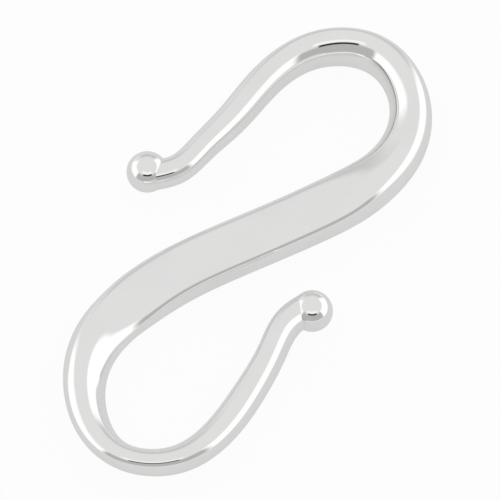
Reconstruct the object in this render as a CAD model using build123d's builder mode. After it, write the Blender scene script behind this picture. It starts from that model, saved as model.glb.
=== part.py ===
from build123d import *
from math import cos, pi, radians, sin
import os

# S-hook clasp: one forged bar, drawn down at both ends, bent into two hooks and tipped with balls.
# It lies flat with +Z up and +Y along its length. Lengths are millimetres and angles are degrees.

# ---- line of the metal, in the flat plane, from the middle of the bar out to each tip ----
# The lower hook is written down half-turned, so that it reads like the upper one.
UPPER_HOOK = {
    "bar_end": (2.75, 4.2),
    "shoulder": (4.2, 6.95),
    "side": (4.87, 9.93),
    "rise": (3.62, 13.65),
    "crown": (0.0, 15.6),
    "fall": (-3.1, 14.15),
    "back": (-4.66, 10.74),
    "arm": (-5.11, 7.28),
    "neck": (-5.67, 4.53),
    "bend": (-6.25, 2.51),
    "tip": (-7.21, 1.5),
}
LOWER_HOOK = {
    "bar_end": (2.6, 4.2),
    "shoulder": (3.8, 7.1),
    "side": (4.34, 10.24),
    "rise": (3.23, 13.86),
    "crown": (-0.85, 16.62),
    "fall": (-3.9, 15.2),
    "back": (-5.12, 12.36),
    "arm": (-5.33, 9.2),
    "neck": (-5.12, 5.87),
    "bend": (-4.99, 3.34),
    "tip": (-5.41, 2.25),
}

# ---- balls on the tips ----
BALL_DIAMETER = 2.5
UPPER_BALL = (-7.68, 1.52)
LOWER_BALL = (-5.79, 2.18)

# ---- section of the metal at named places, the same in both halves ----
# share of the way from the middle of the bar to the tip, wide axis, thin axis,
# roll of the wide axis out of flat, and squareness: 2 for an oval, more for a bar with flats
SECTION_AT = {
    "middle": (0.0, 3.4, 2.05, 0, 3.9),
    "bar": (0.1, 3.4, 2.1, 1, 3.8),
    "bar_end": (0.185, 3.42, 2.2, 6, 3.4),
    "shoulder": (0.26, 3.25, 2.3, 25, 2.9),
    "turn": (0.33, 2.93, 2.26, 36, 2.6),
    "side": (0.403, 2.62, 2.1, 45, 2.4),
    "rise": (0.478, 2.52, 1.87, 54, 2.3),
    "crown": (0.548, 2.57, 1.62, 62, 2.2),
    "fall": (0.62, 2.5, 1.66, 64, 2.0),
    "back": (0.7, 2.38, 1.86, 69, 2.0),
    "arm": (0.8, 2.32, 1.94, 82, 2.0),
    "neck": (0.9, 2.2, 1.75, 98, 2.0),
    "tip": (1.0, 2.0, 1.8, 110, 2.0),
}
OUTLINE_POINTS = 24


def half_turned(point):
    return (-point[0], -point[1])


def section_outline(wide, thin, roll, squareness):
    """The closed outline of a section, which starts sideways from the middle of the metal."""
    directions = [step / OUTLINE_POINTS for step in range(OUTLINE_POINTS + 1)]
    points = []
    for direction in directions[:-1]:
        from_wide_axis = 2 * pi * direction - radians(roll)
        along_wide = abs(2 * cos(from_wide_axis) / wide) ** squareness
        along_thin = abs(2 * sin(from_wide_axis) / thin) ** squareness
        reach = (along_wide + along_thin) ** (-1 / squareness)
        points.append((reach * cos(2 * pi * direction), reach * sin(2 * pi * direction)))
    return Edge.make_spline(points, periodic=True, parameters=directions)


def plane_across(distance):
    """The plane that stands across the line at a distance from the upper tip."""
    along = centreline.tangent_at(distance, position_mode=PositionMode.LENGTH)
    here = centreline.position_at(distance, position_mode=PositionMode.LENGTH)
    return Plane(origin=here, x_dir=along.cross(Vector(0, 0, 1)), z_dir=along)


upper_points = [UPPER_HOOK[place] for place in reversed(UPPER_HOOK)]
lower_points = [half_turned(point) for point in LOWER_HOOK.values()]
centreline = Spline(*upper_points, (0, 0), *lower_points)
upper_length = centreline.param_at_point((0, 0)) * centreline.length
lower_length = centreline.length - upper_length

# Every section in order from the upper tip: the middle of the bar is shared by both halves.
sections = []
for share, wide, thin, roll, squareness in reversed(SECTION_AT.values()):
    sections.append((upper_length * (1 - share), wide, thin, roll, squareness))
for share, wide, thin, roll, squareness in list(SECTION_AT.values())[1:]:
    sections.append((upper_length + lower_length * share, wide, thin, -roll, squareness))

with BuildPart() as clasp:
    for distance, *shape in sections:
        with BuildSketch(plane_across(distance)):
            with BuildLine():
                add(section_outline(*shape))
            make_face()
    loft()
    for ball_centre in (UPPER_BALL, half_turned(LOWER_BALL)):
        with Locations(ball_centre):
            Sphere(BALL_DIAMETER / 2)

# The clasp stands on z = 0, with the middle of its outside box over the origin.
box = clasp.part.bounding_box()
s_hook = Pos(-box.center().X, -box.center().Y, -box.min.Z) * clasp.part
s_hook.label = "s_hook"
os.makedirs("parts", exist_ok=True)
export_step(s_hook, "parts/s_hook.step")
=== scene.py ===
"""A polished silver S-hook clasp and the light tent it lies in."""

from math import cos, pi, radians, sin

import bmesh
import bpy
import numpy as np
from bpy.props import FloatProperty, FloatVectorProperty, IntProperty, PointerProperty
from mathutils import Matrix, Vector


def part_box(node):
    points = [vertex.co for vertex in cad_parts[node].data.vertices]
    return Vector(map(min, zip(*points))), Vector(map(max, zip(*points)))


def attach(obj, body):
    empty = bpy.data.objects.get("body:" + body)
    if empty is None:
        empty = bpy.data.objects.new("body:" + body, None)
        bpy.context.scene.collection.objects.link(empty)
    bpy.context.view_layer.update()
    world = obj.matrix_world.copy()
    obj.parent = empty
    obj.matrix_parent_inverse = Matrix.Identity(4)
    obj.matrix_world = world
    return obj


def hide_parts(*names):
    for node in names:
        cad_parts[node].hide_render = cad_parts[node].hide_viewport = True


bl_info = {
    "name": "S-hook clasp",
    "version": (1, 0, 0),
    "blender": (4, 5, 0),
    "location": "View3D > Sidebar > Clasp",
    "description": "Forges a polished silver S-hook clasp and sets it in a light tent",
    "category": "Object",
}

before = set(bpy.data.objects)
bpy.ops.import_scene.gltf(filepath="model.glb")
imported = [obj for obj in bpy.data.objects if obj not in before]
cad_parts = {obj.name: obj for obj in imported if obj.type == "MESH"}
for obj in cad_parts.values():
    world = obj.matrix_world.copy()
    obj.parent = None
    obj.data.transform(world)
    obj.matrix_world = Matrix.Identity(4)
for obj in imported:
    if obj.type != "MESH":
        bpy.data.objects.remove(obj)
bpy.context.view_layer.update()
LOWEST, HIGHEST = (Vector(corner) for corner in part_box("s_hook"))

MM = 0.001
UP = Vector((0, 0, 1))

# Line of the metal in millimetres, from the middle of the bar out to each tip: bar end, shoulder, side,
# rise, crown, fall, back, arm, neck, bend and tip. The lower hook is written down half-turned.
UPPER_HOOK = (
    (2.75, 4.2), (4.2, 6.95), (4.87, 9.93), (3.62, 13.65), (0.0, 15.6), (-3.1, 14.15),
    (-4.66, 10.74), (-5.11, 7.28), (-5.67, 4.53), (-6.25, 2.51), (-7.21, 1.5),
)
LOWER_HOOK = (
    (2.6, 4.2), (3.8, 7.1), (4.34, 10.24), (3.23, 13.86), (-0.85, 16.62), (-3.9, 15.2),
    (-5.12, 12.36), (-5.33, 9.2), (-5.12, 5.87), (-4.99, 3.34), (-5.41, 2.25),
)
UPPER_BALL = (-7.68, 1.52)
LOWER_BALL = (-5.79, 2.18)

# Share of the way from the middle to a tip, wide axis, thin axis, roll in degrees, which raises
# the outer edge, and squareness: 2 for an oval, more for a bar with flats.
SECTIONS = (
    (0.0, 3.4, 2.05, 0, 3.9),
    (0.1, 3.4, 2.1, 1, 3.8),
    (0.185, 3.42, 2.2, 6, 3.4),
    (0.26, 3.25, 2.3, 25, 2.9),
    (0.33, 2.93, 2.26, 36, 2.6),
    (0.403, 2.62, 2.1, 45, 2.4),
    (0.478, 2.52, 1.87, 54, 2.3),
    (0.548, 2.57, 1.62, 62, 2.2),
    (0.62, 2.5, 1.66, 64, 2.0),
    (0.7, 2.38, 1.86, 69, 2.0),
    (0.8, 2.32, 1.94, 82, 2.0),
    (0.9, 2.2, 1.75, 98, 2.0),
    (1.0, 2.0, 1.8, 110, 2.0),
)


# ---------------------------------------------------------------- sizes and colours


class SilverSettings(bpy.types.PropertyGroup):
    ball_diameter: FloatProperty(
        name="Ball diameter", description="Diameter of the ball on each tip",
        default=2.5 * MM, min=0.5 * MM, unit="LENGTH", precision=5,
    )
    ring_points: IntProperty(
        name="Ring points", description="Points round each ring of the bar", default=64, min=16,
    )
    rings: IntProperty(
        name="Rings", description="Rings along the bar from tip to tip", default=480, min=60,
    )
    crease_angle: FloatProperty(
        name="Crease angle", description="Edges sharper than this stay crisp",
        default=radians(32), subtype="ANGLE",
    )
    colour: FloatVectorProperty(
        name="Silver colour", description="Colour that the polished metal reflects",
        default=(0.955, 0.95, 0.945), subtype="COLOR", min=0, max=1,
    )
    polish: FloatProperty(
        name="Polish roughness", description="Roughness of the cleanest polish",
        default=0.035, min=0, max=1, subtype="FACTOR",
    )
    hazed: FloatProperty(
        name="Handled roughness", description="Roughness where handling has hazed the polish",
        default=0.11, min=0, max=1, subtype="FACTOR",
    )


class StageSettings(bpy.types.PropertyGroup):
    floor_size: FloatProperty(
        name="Floor size", description="Width of the floor", default=0.6, min=0.1, unit="LENGTH",
    )
    # Painted shade: the grey that the metal reflects from the floor round the clasp, fading to white
    # farther out
    near_floor_painted_shade: FloatVectorProperty(
        name="Painted shade round the clasp", description="Painted shade on the floor round the clasp, seen in the metal",
        default=(0.7, 0.7, 0.7), subtype="COLOR", min=0, max=1,
    )
    camera_distance: FloatProperty(
        name="Camera distance", description="From the clasp to the camera",
        default=1.0, min=0.05, unit="LENGTH",
    )
    camera_angle: FloatProperty(
        name="Camera angle", description="How far the camera stands round from the lower end of the clasp",
        default=radians(29.5), subtype="ANGLE",
    )
    camera_height: FloatProperty(
        name="Camera height", description="How steeply the camera looks down",
        default=radians(58), subtype="ANGLE",
    )
    view_width: FloatProperty(
        name="View width", description="Width that the camera takes in at the clasp",
        default=30 * MM, min=1 * MM, unit="LENGTH", precision=4,
    )


# ---------------------------------------------------------------- line and sections of the metal


def half_turned(point):
    return (-point[0], -point[1])


def smooth_through(stations, values, at):
    """A natural cubic through the values at the stations, read at each place in at."""
    x, y = np.asarray(stations, float), np.asarray(values, float)
    gap = np.diff(x)
    slope = np.diff(y) / gap
    matrix = np.eye(len(x))
    wanted = np.zeros(len(x))
    for i in range(1, len(x) - 1):
        matrix[i, i - 1 : i + 2] = gap[i - 1], 2 * (gap[i - 1] + gap[i]), gap[i]
        wanted[i] = 6 * (slope[i] - slope[i - 1])
    bend = np.linalg.solve(matrix, wanted)
    span = np.clip(np.searchsorted(x, at, side="right") - 1, 0, len(gap) - 1)
    into, left = at - x[span], x[span + 1] - at
    curved = (bend[span] * left**3 + bend[span + 1] * into**3) / (6 * gap[span])
    start = (y[span] / gap[span] - bend[span] * gap[span] / 6) * left
    end = (y[span + 1] / gap[span] - bend[span + 1] * gap[span] / 6) * into
    return curved + start + end


def line_of_metal(samples=6001):
    """Points along the middle line from the upper tip, their distances, and the middle's distance."""
    points = [*reversed(UPPER_HOOK), (0, 0), *(half_turned(point) for point in LOWER_HOOK)]
    points = np.array(points, float)
    stations = np.concatenate([[0], np.cumsum(np.linalg.norm(np.diff(points, axis=0), axis=1))])
    at = np.linspace(0, stations[-1], samples)
    line = np.column_stack([smooth_through(stations, points[:, i], at) for i in (0, 1)])
    distances = np.concatenate([[0], np.cumsum(np.linalg.norm(np.diff(line, axis=0), axis=1))])
    return line, distances, float(np.interp(stations[len(UPPER_HOOK)], at, distances))


def tip_to_tip(upper, lower):
    """Values along both halves from the upper tip: each half is written from the middle outwards."""
    return np.concatenate([upper[::-1], lower[1:]])


def ring_places(rings, ring_points):
    """Every ring of the bar from the upper tip to the lower one, as lists of points in metres."""
    line, distances, middle = line_of_metal()
    total = distances[-1]
    shares, wide, thin, roll, square = (np.array(column, float) for column in zip(*SECTIONS))
    places = np.concatenate([middle * (1 - shares[::-1]), middle + (total - middle) * shares[1:]])
    at = np.linspace(0, total, rings)
    wide_at = smooth_through(places, tip_to_tip(wide, wide), at)
    thin_at = smooth_through(places, tip_to_tip(thin, thin), at)
    roll_at = np.radians(smooth_through(places, tip_to_tip(-roll, roll), at))
    square_at = smooth_through(places, tip_to_tip(square, square), at)
    here = np.column_stack([np.interp(at, distances, line[:, i]) for i in (0, 1)])
    heading = np.gradient(here, at, axis=0)
    heading /= np.linalg.norm(heading, axis=1)[:, None]
    turn = np.arange(ring_points) * 2 * pi / ring_points
    origin = bar_origin()
    for i in range(rings):
        off_wide = turn - roll_at[i]
        power = square_at[i]
        along_wide = np.abs(2 * np.cos(off_wide) / wide_at[i]) ** power
        along_thin = np.abs(2 * np.sin(off_wide) / thin_at[i]) ** power
        reach = (along_wide + along_thin) ** (-1 / power)
        sideways = Vector((heading[i, 1], -heading[i, 0], 0))
        centre = Vector((here[i, 0], here[i, 1], 0))
        yield [
            origin + MM * (centre + sideways * (r * cos(a)) + UP * (r * sin(a)))
            for r, a in zip(reach, turn)
        ]


def bar_origin():
    """Where the middle of the bar lies: the balls' far sides touch the two sides of the frame's box."""
    middle = (LOWEST + HIGHEST) / 2
    balls_middle = MM * (Vector(UPPER_BALL) + Vector(half_turned(LOWER_BALL))) / 2
    top, bottom = max(line_of_metal()[0][:, 1]), min(line_of_metal()[0][:, 1])
    return Vector((middle.x - balls_middle.x, middle.y - MM * (top + bottom) / 2, middle.z))


def deselect_all():
    bpy.ops.object.select_all(action="DESELECT")


def lay_ring(piece, ring):
    """Moves the selected ring of points to its place, keeping the order round the bar."""
    mesh = bmesh.from_edit_mesh(piece.data)
    chosen = sorted((vert for vert in mesh.verts if vert.select), key=lambda vert: vert.index)
    if len(chosen) != len(ring):
        raise RuntimeError("a ring of the bar has lost points")
    for vert, place in zip(chosen, ring):
        vert.co = place
    bmesh.update_edit_mesh(piece.data)


def forge_bar(rings, ring_points):
    """A circle drawn out ring by ring along the line, and closed at both ends."""
    places = list(ring_places(rings, ring_points))
    deselect_all()
    bpy.ops.mesh.primitive_circle_add(vertices=ring_points, radius=MM, fill_type="NGON")
    bar = bpy.context.active_object
    bpy.ops.object.mode_set(mode="EDIT")
    bpy.ops.mesh.select_mode(type="VERT")
    lay_ring(bar, places[0])
    bpy.ops.mesh.select_all(action="SELECT")
    for ring in places[1:]:
        bpy.ops.mesh.extrude_region_move(TRANSFORM_OT_translate={"value": (0, 0, MM)})
        lay_ring(bar, ring)
    bpy.ops.mesh.select_all(action="SELECT")
    bpy.ops.mesh.normals_make_consistent(inside=False)
    bpy.ops.object.mode_set(mode="OBJECT")
    return bar


def melt_ball(bar, centre, diameter):
    """Joins a ball to the tip of the bar."""
    deselect_all()
    place = bar_origin() + MM * Vector((*centre, 0))
    bpy.ops.mesh.primitive_ico_sphere_add(subdivisions=6, radius=diameter / 2, location=place)
    ball = bpy.context.active_object
    bpy.ops.object.transform_apply(location=True, rotation=True, scale=True)
    deselect_all()
    bar.select_set(True)
    bpy.context.view_layer.objects.active = bar
    join = bar.modifiers.new("ball", "BOOLEAN")
    join.operation = "UNION"
    join.solver = "EXACT"
    join.object = ball
    bpy.ops.object.modifier_apply(modifier=join.name)
    bpy.data.objects.remove(ball)


def seat_in_box(piece):
    """Moves and trims the piece by a hair, so that it fills the frame's box and never passes it."""
    places = np.empty(3 * len(piece.data.vertices))
    piece.data.vertices.foreach_get("co", places)
    places = places.reshape(-1, 3)
    low, high = places.min(axis=0), places.max(axis=0)
    hair = 0.001 * MM
    room = np.array(HIGHEST - LOWEST) - 2 * hair
    places = np.array(LOWEST) + hair + (places - low) / (high - low) * room
    piece.data.vertices.foreach_set("co", places.ravel())
    piece.data.update()


# ---------------------------------------------------------------- materials


def link(tree, source, target):
    tree.links.new(source, target)


def polish_marks_group():
    """Haze from handling and hair-fine polishing scratches: a mask and a height."""
    group = bpy.data.node_groups.new("polish marks", "ShaderNodeTree")
    for name, kind, default in (("Haze Scale", "INPUT", 260.0), ("Scratch Scale", "INPUT", 2200.0)):
        socket = group.interface.new_socket(name, in_out=kind, socket_type="NodeSocketFloat")
        socket.default_value = default
    group.interface.new_socket("Haze", in_out="OUTPUT", socket_type="NodeSocketFloat")
    group.interface.new_socket("Height", in_out="OUTPUT", socket_type="NodeSocketFloat")
    nodes = group.nodes
    entry, leave = nodes.new("NodeGroupInput"), nodes.new("NodeGroupOutput")
    place = nodes.new("ShaderNodeTexCoord")
    haze = nodes.new("ShaderNodeTexNoise")
    haze.inputs["Detail"].default_value = 5
    haze.inputs["Roughness"].default_value = 0.6
    contrast = nodes.new("ShaderNodeMapRange")
    contrast.inputs["From Min"].default_value = 0.42
    contrast.inputs["From Max"].default_value = 0.75
    stretch = nodes.new("ShaderNodeMapping")
    stretch.inputs["Rotation"].default_value = (0.0, 0.0, radians(-33))
    stretch.inputs["Scale"].default_value = (1.0, 0.06, 1.0)
    scratch = nodes.new("ShaderNodeTexNoise")
    scratch.inputs["Detail"].default_value = 3
    link(group, place.outputs["Object"], haze.inputs["Vector"])
    link(group, entry.outputs["Haze Scale"], haze.inputs["Scale"])
    link(group, haze.outputs["Fac"], contrast.inputs["Value"])
    link(group, contrast.outputs["Result"], leave.inputs["Haze"])
    link(group, place.outputs["Object"], stretch.inputs["Vector"])
    link(group, stretch.outputs["Vector"], scratch.inputs["Vector"])
    link(group, entry.outputs["Scratch Scale"], scratch.inputs["Scale"])
    link(group, scratch.outputs["Fac"], leave.inputs["Height"])
    return group


def polished_silver(settings):
    """Silver polished close to a mirror, a little hazed by handling."""
    material = bpy.data.materials.new("polished silver")
    material.use_nodes = True
    tree = material.node_tree
    metal = tree.nodes["Principled BSDF"]
    metal.inputs["Metallic"].default_value = 1.0
    marks = tree.nodes.new("ShaderNodeGroup")
    marks.node_tree = polish_marks_group()
    tone = tree.nodes.new("ShaderNodeMix")
    tone.data_type = "RGBA"
    tone.inputs["A"].default_value = (*settings.colour, 1)
    tone.inputs["B"].default_value = (*(0.965 * channel for channel in settings.colour), 1)
    rough = tree.nodes.new("ShaderNodeMapRange")
    rough.inputs["To Min"].default_value = settings.polish
    rough.inputs["To Max"].default_value = settings.hazed
    bump = tree.nodes.new("ShaderNodeBump")
    bump.inputs["Strength"].default_value = 0.04
    bump.inputs["Distance"].default_value = 0.002 * MM
    link(tree, marks.outputs["Haze"], tone.inputs["Factor"])
    link(tree, marks.outputs["Haze"], rough.inputs["Value"])
    link(tree, marks.outputs["Height"], bump.inputs["Height"])
    link(tree, tone.outputs["Result"], metal.inputs["Base Color"])
    link(tree, rough.outputs["Result"], metal.inputs["Roughness"])
    link(tree, bump.outputs["Normal"], metal.inputs["Normal"])
    return material


FLOOR_GREY = 0.9
WHITE_SHARE_SEEN = 0.94
# The floor that the metal reflects is a glowing painted shade, grey near the clasp and white farther out;
# the share, patch size and fade below set it
GREY_SHARE_REFLECTED = 0.75
PAINTED_SHADE_PATCH = (0.016, 0.025)
PAINTED_SHADE_PATCH_FADE = (1.6, 5.0)


def pale_floor(settings):
    """Pale card: white to the camera, and a glowing painted shade for the metal to reflect, grey near the
    clasp and white farther out.
    """
    material = bpy.data.materials.new("pale floor")
    material.use_nodes = True
    tree = material.node_tree
    tree.nodes.clear()
    out = tree.nodes.new("ShaderNodeOutputMaterial")
    card = tree.nodes.new("ShaderNodeBsdfDiffuse")
    card.inputs["Color"].default_value = (FLOOR_GREY, FLOOR_GREY, FLOOR_GREY, 1)
    white = tree.nodes.new("ShaderNodeEmission")
    white.inputs["Color"].default_value = (1, 1, 1, 1)
    seen = tree.nodes.new("ShaderNodeMixShader")
    seen_share = tree.nodes.new("ShaderNodeMath")
    seen_share.operation = "MULTIPLY"
    seen_share.inputs[1].default_value = WHITE_SHARE_SEEN
    # Painted shade: for glossy rays the floor glows grey near the clasp and white farther out, instead of
    # its own lit shade
    glow = tree.nodes.new("ShaderNodeEmission")
    reflected = tree.nodes.new("ShaderNodeMixShader")
    reflected_share = tree.nodes.new("ShaderNodeMath")
    reflected_share.operation = "MULTIPLY"
    reflected_share.inputs[1].default_value = GREY_SHARE_REFLECTED
    path = tree.nodes.new("ShaderNodeLightPath")
    place = tree.nodes.new("ShaderNodeTexCoord")
    round_clasp = tree.nodes.new("ShaderNodeMapping")
    round_clasp.inputs["Scale"].default_value = (1 / PAINTED_SHADE_PATCH[0], 1 / PAINTED_SHADE_PATCH[1], 0)
    away = tree.nodes.new("ShaderNodeVectorMath")
    away.operation = "LENGTH"
    fade = tree.nodes.new("ShaderNodeMapRange")
    fade.inputs["From Min"].default_value = PAINTED_SHADE_PATCH_FADE[0]
    fade.inputs["From Max"].default_value = PAINTED_SHADE_PATCH_FADE[1]
    # Painted shade mask: grey near the clasp, white farther out
    shade = tree.nodes.new("ShaderNodeMix")
    shade.data_type = "RGBA"
    shade.inputs["A"].default_value = (*settings.near_floor_painted_shade, 1)
    shade.inputs["B"].default_value = (1, 1, 1, 1)
    link(tree, place.outputs["Object"], round_clasp.inputs["Vector"])
    link(tree, round_clasp.outputs["Vector"], away.inputs[0])
    link(tree, away.outputs["Value"], fade.inputs["Value"])
    link(tree, fade.outputs["Result"], shade.inputs["Factor"])
    link(tree, shade.outputs["Result"], glow.inputs["Color"])
    link(tree, path.outputs["Is Glossy Ray"], reflected_share.inputs[0])
    link(tree, reflected_share.outputs["Value"], reflected.inputs["Fac"])
    link(tree, card.outputs["BSDF"], reflected.inputs[1])
    link(tree, glow.outputs["Emission"], reflected.inputs[2])
    link(tree, path.outputs["Is Camera Ray"], seen_share.inputs[0])
    link(tree, seen_share.outputs["Value"], seen.inputs["Fac"])
    link(tree, reflected.outputs["Shader"], seen.inputs[1])
    link(tree, white.outputs["Emission"], seen.inputs[2])
    link(tree, seen.outputs["Shader"], out.inputs["Surface"])
    return material


# ---------------------------------------------------------------- light tent


def soft_band(tree, value, middle, half, softness):
    """1 where the value lies within half of the middle, and 0 outside, with a soft edge."""
    off = tree.nodes.new("ShaderNodeMath")
    off.operation = "SUBTRACT"
    off.inputs[1].default_value = middle
    away = tree.nodes.new("ShaderNodeMath")
    away.operation = "ABSOLUTE"
    edge = tree.nodes.new("ShaderNodeMapRange")
    edge.interpolation_type = "SMOOTHSTEP"
    edge.inputs["From Min"].default_value = half + softness
    edge.inputs["From Max"].default_value = half - softness
    link(tree, value, off.inputs[0])
    link(tree, off.outputs["Value"], away.inputs[0])
    link(tree, away.outputs["Value"], edge.inputs["Value"])
    return edge.outputs["Result"]


def tent_angles(tree, facing):
    """Angle round from the direction of facing, and height, both in degrees."""
    place = tree.nodes.new("ShaderNodeTexCoord")
    turned = tree.nodes.new("ShaderNodeVectorRotate")
    turned.rotation_type = "Z_AXIS"
    turned.inputs["Angle"].default_value = -facing
    parts = tree.nodes.new("ShaderNodeSeparateXYZ")
    sideways = tree.nodes.new("ShaderNodeMath")
    sideways.operation = "ARCTAN2"
    height = tree.nodes.new("ShaderNodeMath")
    height.operation = "ARCSINE"
    link(tree, place.outputs["Generated"], turned.inputs["Vector"])
    link(tree, turned.outputs["Vector"], parts.inputs["Vector"])
    link(tree, parts.outputs["Y"], sideways.inputs[0])
    link(tree, parts.outputs["X"], sideways.inputs[1])
    link(tree, parts.outputs["Z"], height.inputs[0])
    in_degrees = []
    for angle in (sideways, height):
        scaled = tree.nodes.new("ShaderNodeMath")
        scaled.operation = "MULTIPLY"
        scaled.inputs[1].default_value = 180 / pi
        link(tree, angle.outputs["Value"], scaled.inputs[0])
        in_degrees.append(scaled.outputs["Value"])
    return in_degrees


ROOF_GREY = 0.77

# Panels of the tent: where each faces, clockwise from behind the clasp, then half its spread round,
# its lower and upper edge, how soft the edges are, all in degrees, and its grey.
TENT_PANELS = (
    (-85, 38, -90, 32, 8, 1.08),
    (78, 44, -90, 37, 4, 1.08),
    (4, 30, -90, 28, 9, 0.6),
    (180, 60, -90, 34, 6, 0.47),
    (180, 42, 42, 55, 4, 0.96),
    (178, 30, 32, 41, 2.5, 0.01),
)


def light_tent(settings):
    """Grey roof, white sides, and the darker front that the camera looks in through."""
    world = bpy.data.worlds.new("light tent")
    world.use_nodes = True
    bpy.context.scene.world = world
    tree = world.node_tree
    tree.nodes.clear()
    out = tree.nodes.new("ShaderNodeOutputWorld")
    roof = tree.nodes.new("ShaderNodeRGB")
    roof.outputs["Color"].default_value = (ROOF_GREY, ROOF_GREY, ROOF_GREY, 1)
    colour = roof.outputs["Color"]
    for round_to, spread, low, high, softness, grey in TENT_PANELS:
        facing = pi / 2 + settings.camera_angle - radians(round_to)
        round_angle, height = tent_angles(tree, facing)
        across = soft_band(tree, round_angle, 0, spread, softness)
        upright = soft_band(tree, height, (low + high) / 2, (high - low) / 2, softness)
        both = tree.nodes.new("ShaderNodeMath")
        both.operation = "MULTIPLY"
        lay = tree.nodes.new("ShaderNodeMix")
        lay.data_type = "RGBA"
        lay.inputs["B"].default_value = (grey, grey, grey, 1)
        link(tree, across, both.inputs[0])
        link(tree, upright, both.inputs[1])
        link(tree, both.outputs["Value"], lay.inputs["Factor"])
        link(tree, colour, lay.inputs["A"])
        colour = lay.outputs["Result"]
    glow = tree.nodes.new("ShaderNodeBackground")
    link(tree, colour, glow.inputs["Color"])
    white = tree.nodes.new("ShaderNodeBackground")
    seen = tree.nodes.new("ShaderNodeMixShader")
    path = tree.nodes.new("ShaderNodeLightPath")
    white.inputs["Color"].default_value = (1, 1, 1, 1)
    link(tree, path.outputs["Is Camera Ray"], seen.inputs["Fac"])
    link(tree, glow.outputs["Background"], seen.inputs[1])
    link(tree, white.outputs["Background"], seen.inputs[2])
    link(tree, seen.outputs["Shader"], out.inputs["Surface"])


def lay_floor(settings):
    deselect_all()
    bpy.ops.mesh.primitive_plane_add(size=settings.floor_size, location=(0, 0, LOWEST.z))
    floor = bpy.context.active_object
    floor.name = "floor"
    floor.data.materials.append(pale_floor(settings))


AIM_OFF_MIDDLE = (0.24, -0.384)


def aim_camera(settings):
    """A long lens that looks down on the clasp from its lower end, a little to the right."""
    right = Vector((cos(settings.camera_angle), sin(settings.camera_angle), 0))
    ahead = Vector((-right.y, right.x, 0))
    back = UP * sin(settings.camera_height) - ahead * cos(settings.camera_height)
    top = back.cross(right)
    aim = bar_origin() + MM * (AIM_OFF_MIDDLE[0] * right + AIM_OFF_MIDDLE[1] * top)
    lens = bpy.data.cameras.new("camera")
    lens.sensor_width = 36
    lens.lens = lens.sensor_width * settings.camera_distance / settings.view_width
    lens.clip_start = 0.01
    camera = bpy.data.objects.new("camera", lens)
    bpy.context.scene.collection.objects.link(camera)
    camera.location = aim + back * settings.camera_distance
    camera.rotation_euler = back.to_track_quat("Z", "Y").to_euler()
    bpy.context.scene.camera = camera


# ---------------------------------------------------------------- operators and panel


class CLASP_OT_forge_s_hook(bpy.types.Operator):
    """Forge the bar, bend it into its two hooks and join a ball to each tip"""

    bl_idname = "clasp.forge_s_hook"
    bl_label = "Forge S-hook"

    def execute(self, context):
        settings = context.scene.clasp_silver
        hook = forge_bar(settings.rings, settings.ring_points)
        melt_ball(hook, UPPER_BALL, settings.ball_diameter)
        melt_ball(hook, half_turned(LOWER_BALL), settings.ball_diameter)
        seat_in_box(hook)
        hook.name = "silver_s_hook"
        hook.data.name = hook.name
        hook.data.materials.clear()
        hook.data.materials.append(polished_silver(settings))
        bpy.ops.object.shade_smooth_by_angle(angle=settings.crease_angle)
        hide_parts("s_hook")
        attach(hook, "root")
        return {"FINISHED"}


class CLASP_OT_set_stage(bpy.types.Operator):
    """Lay the pale floor, hang the light tent and aim the camera"""

    bl_idname = "clasp.set_stage"
    bl_label = "Set the stage"

    def execute(self, context):
        settings = context.scene.clasp_stage
        context.scene.view_settings.view_transform = "Standard"
        lay_floor(settings)
        light_tent(settings)
        aim_camera(settings)
        return {"FINISHED"}


class CLASP_PT_workshop(bpy.types.Panel):
    """The clasp's sizes, finish and stage"""

    bl_idname = "CLASP_PT_workshop"
    bl_label = "S-hook clasp"
    bl_space_type = "VIEW_3D"
    bl_region_type = "UI"
    bl_category = "Clasp"

    def draw(self, context):
        for title, settings, operator in (
            ("Silver", context.scene.clasp_silver, CLASP_OT_forge_s_hook),
            ("Stage", context.scene.clasp_stage, CLASP_OT_set_stage),
        ):
            box = self.layout.box()
            box.label(text=title)
            for name in settings.__annotations__:
                box.prop(settings, name)
            box.operator(operator.bl_idname)


CLASSES = (SilverSettings, StageSettings, CLASP_OT_forge_s_hook, CLASP_OT_set_stage, CLASP_PT_workshop)


def register():
    for cls in CLASSES:
        bpy.utils.register_class(cls)
    bpy.types.Scene.clasp_silver = PointerProperty(type=SilverSettings)
    bpy.types.Scene.clasp_stage = PointerProperty(type=StageSettings)


def unregister():
    del bpy.types.Scene.clasp_stage
    del bpy.types.Scene.clasp_silver
    for cls in reversed(CLASSES):
        bpy.utils.unregister_class(cls)


def main():
    register()
    bpy.ops.clasp.forge_s_hook()
    bpy.ops.clasp.set_stage()


if __name__ == "__main__":
    main()
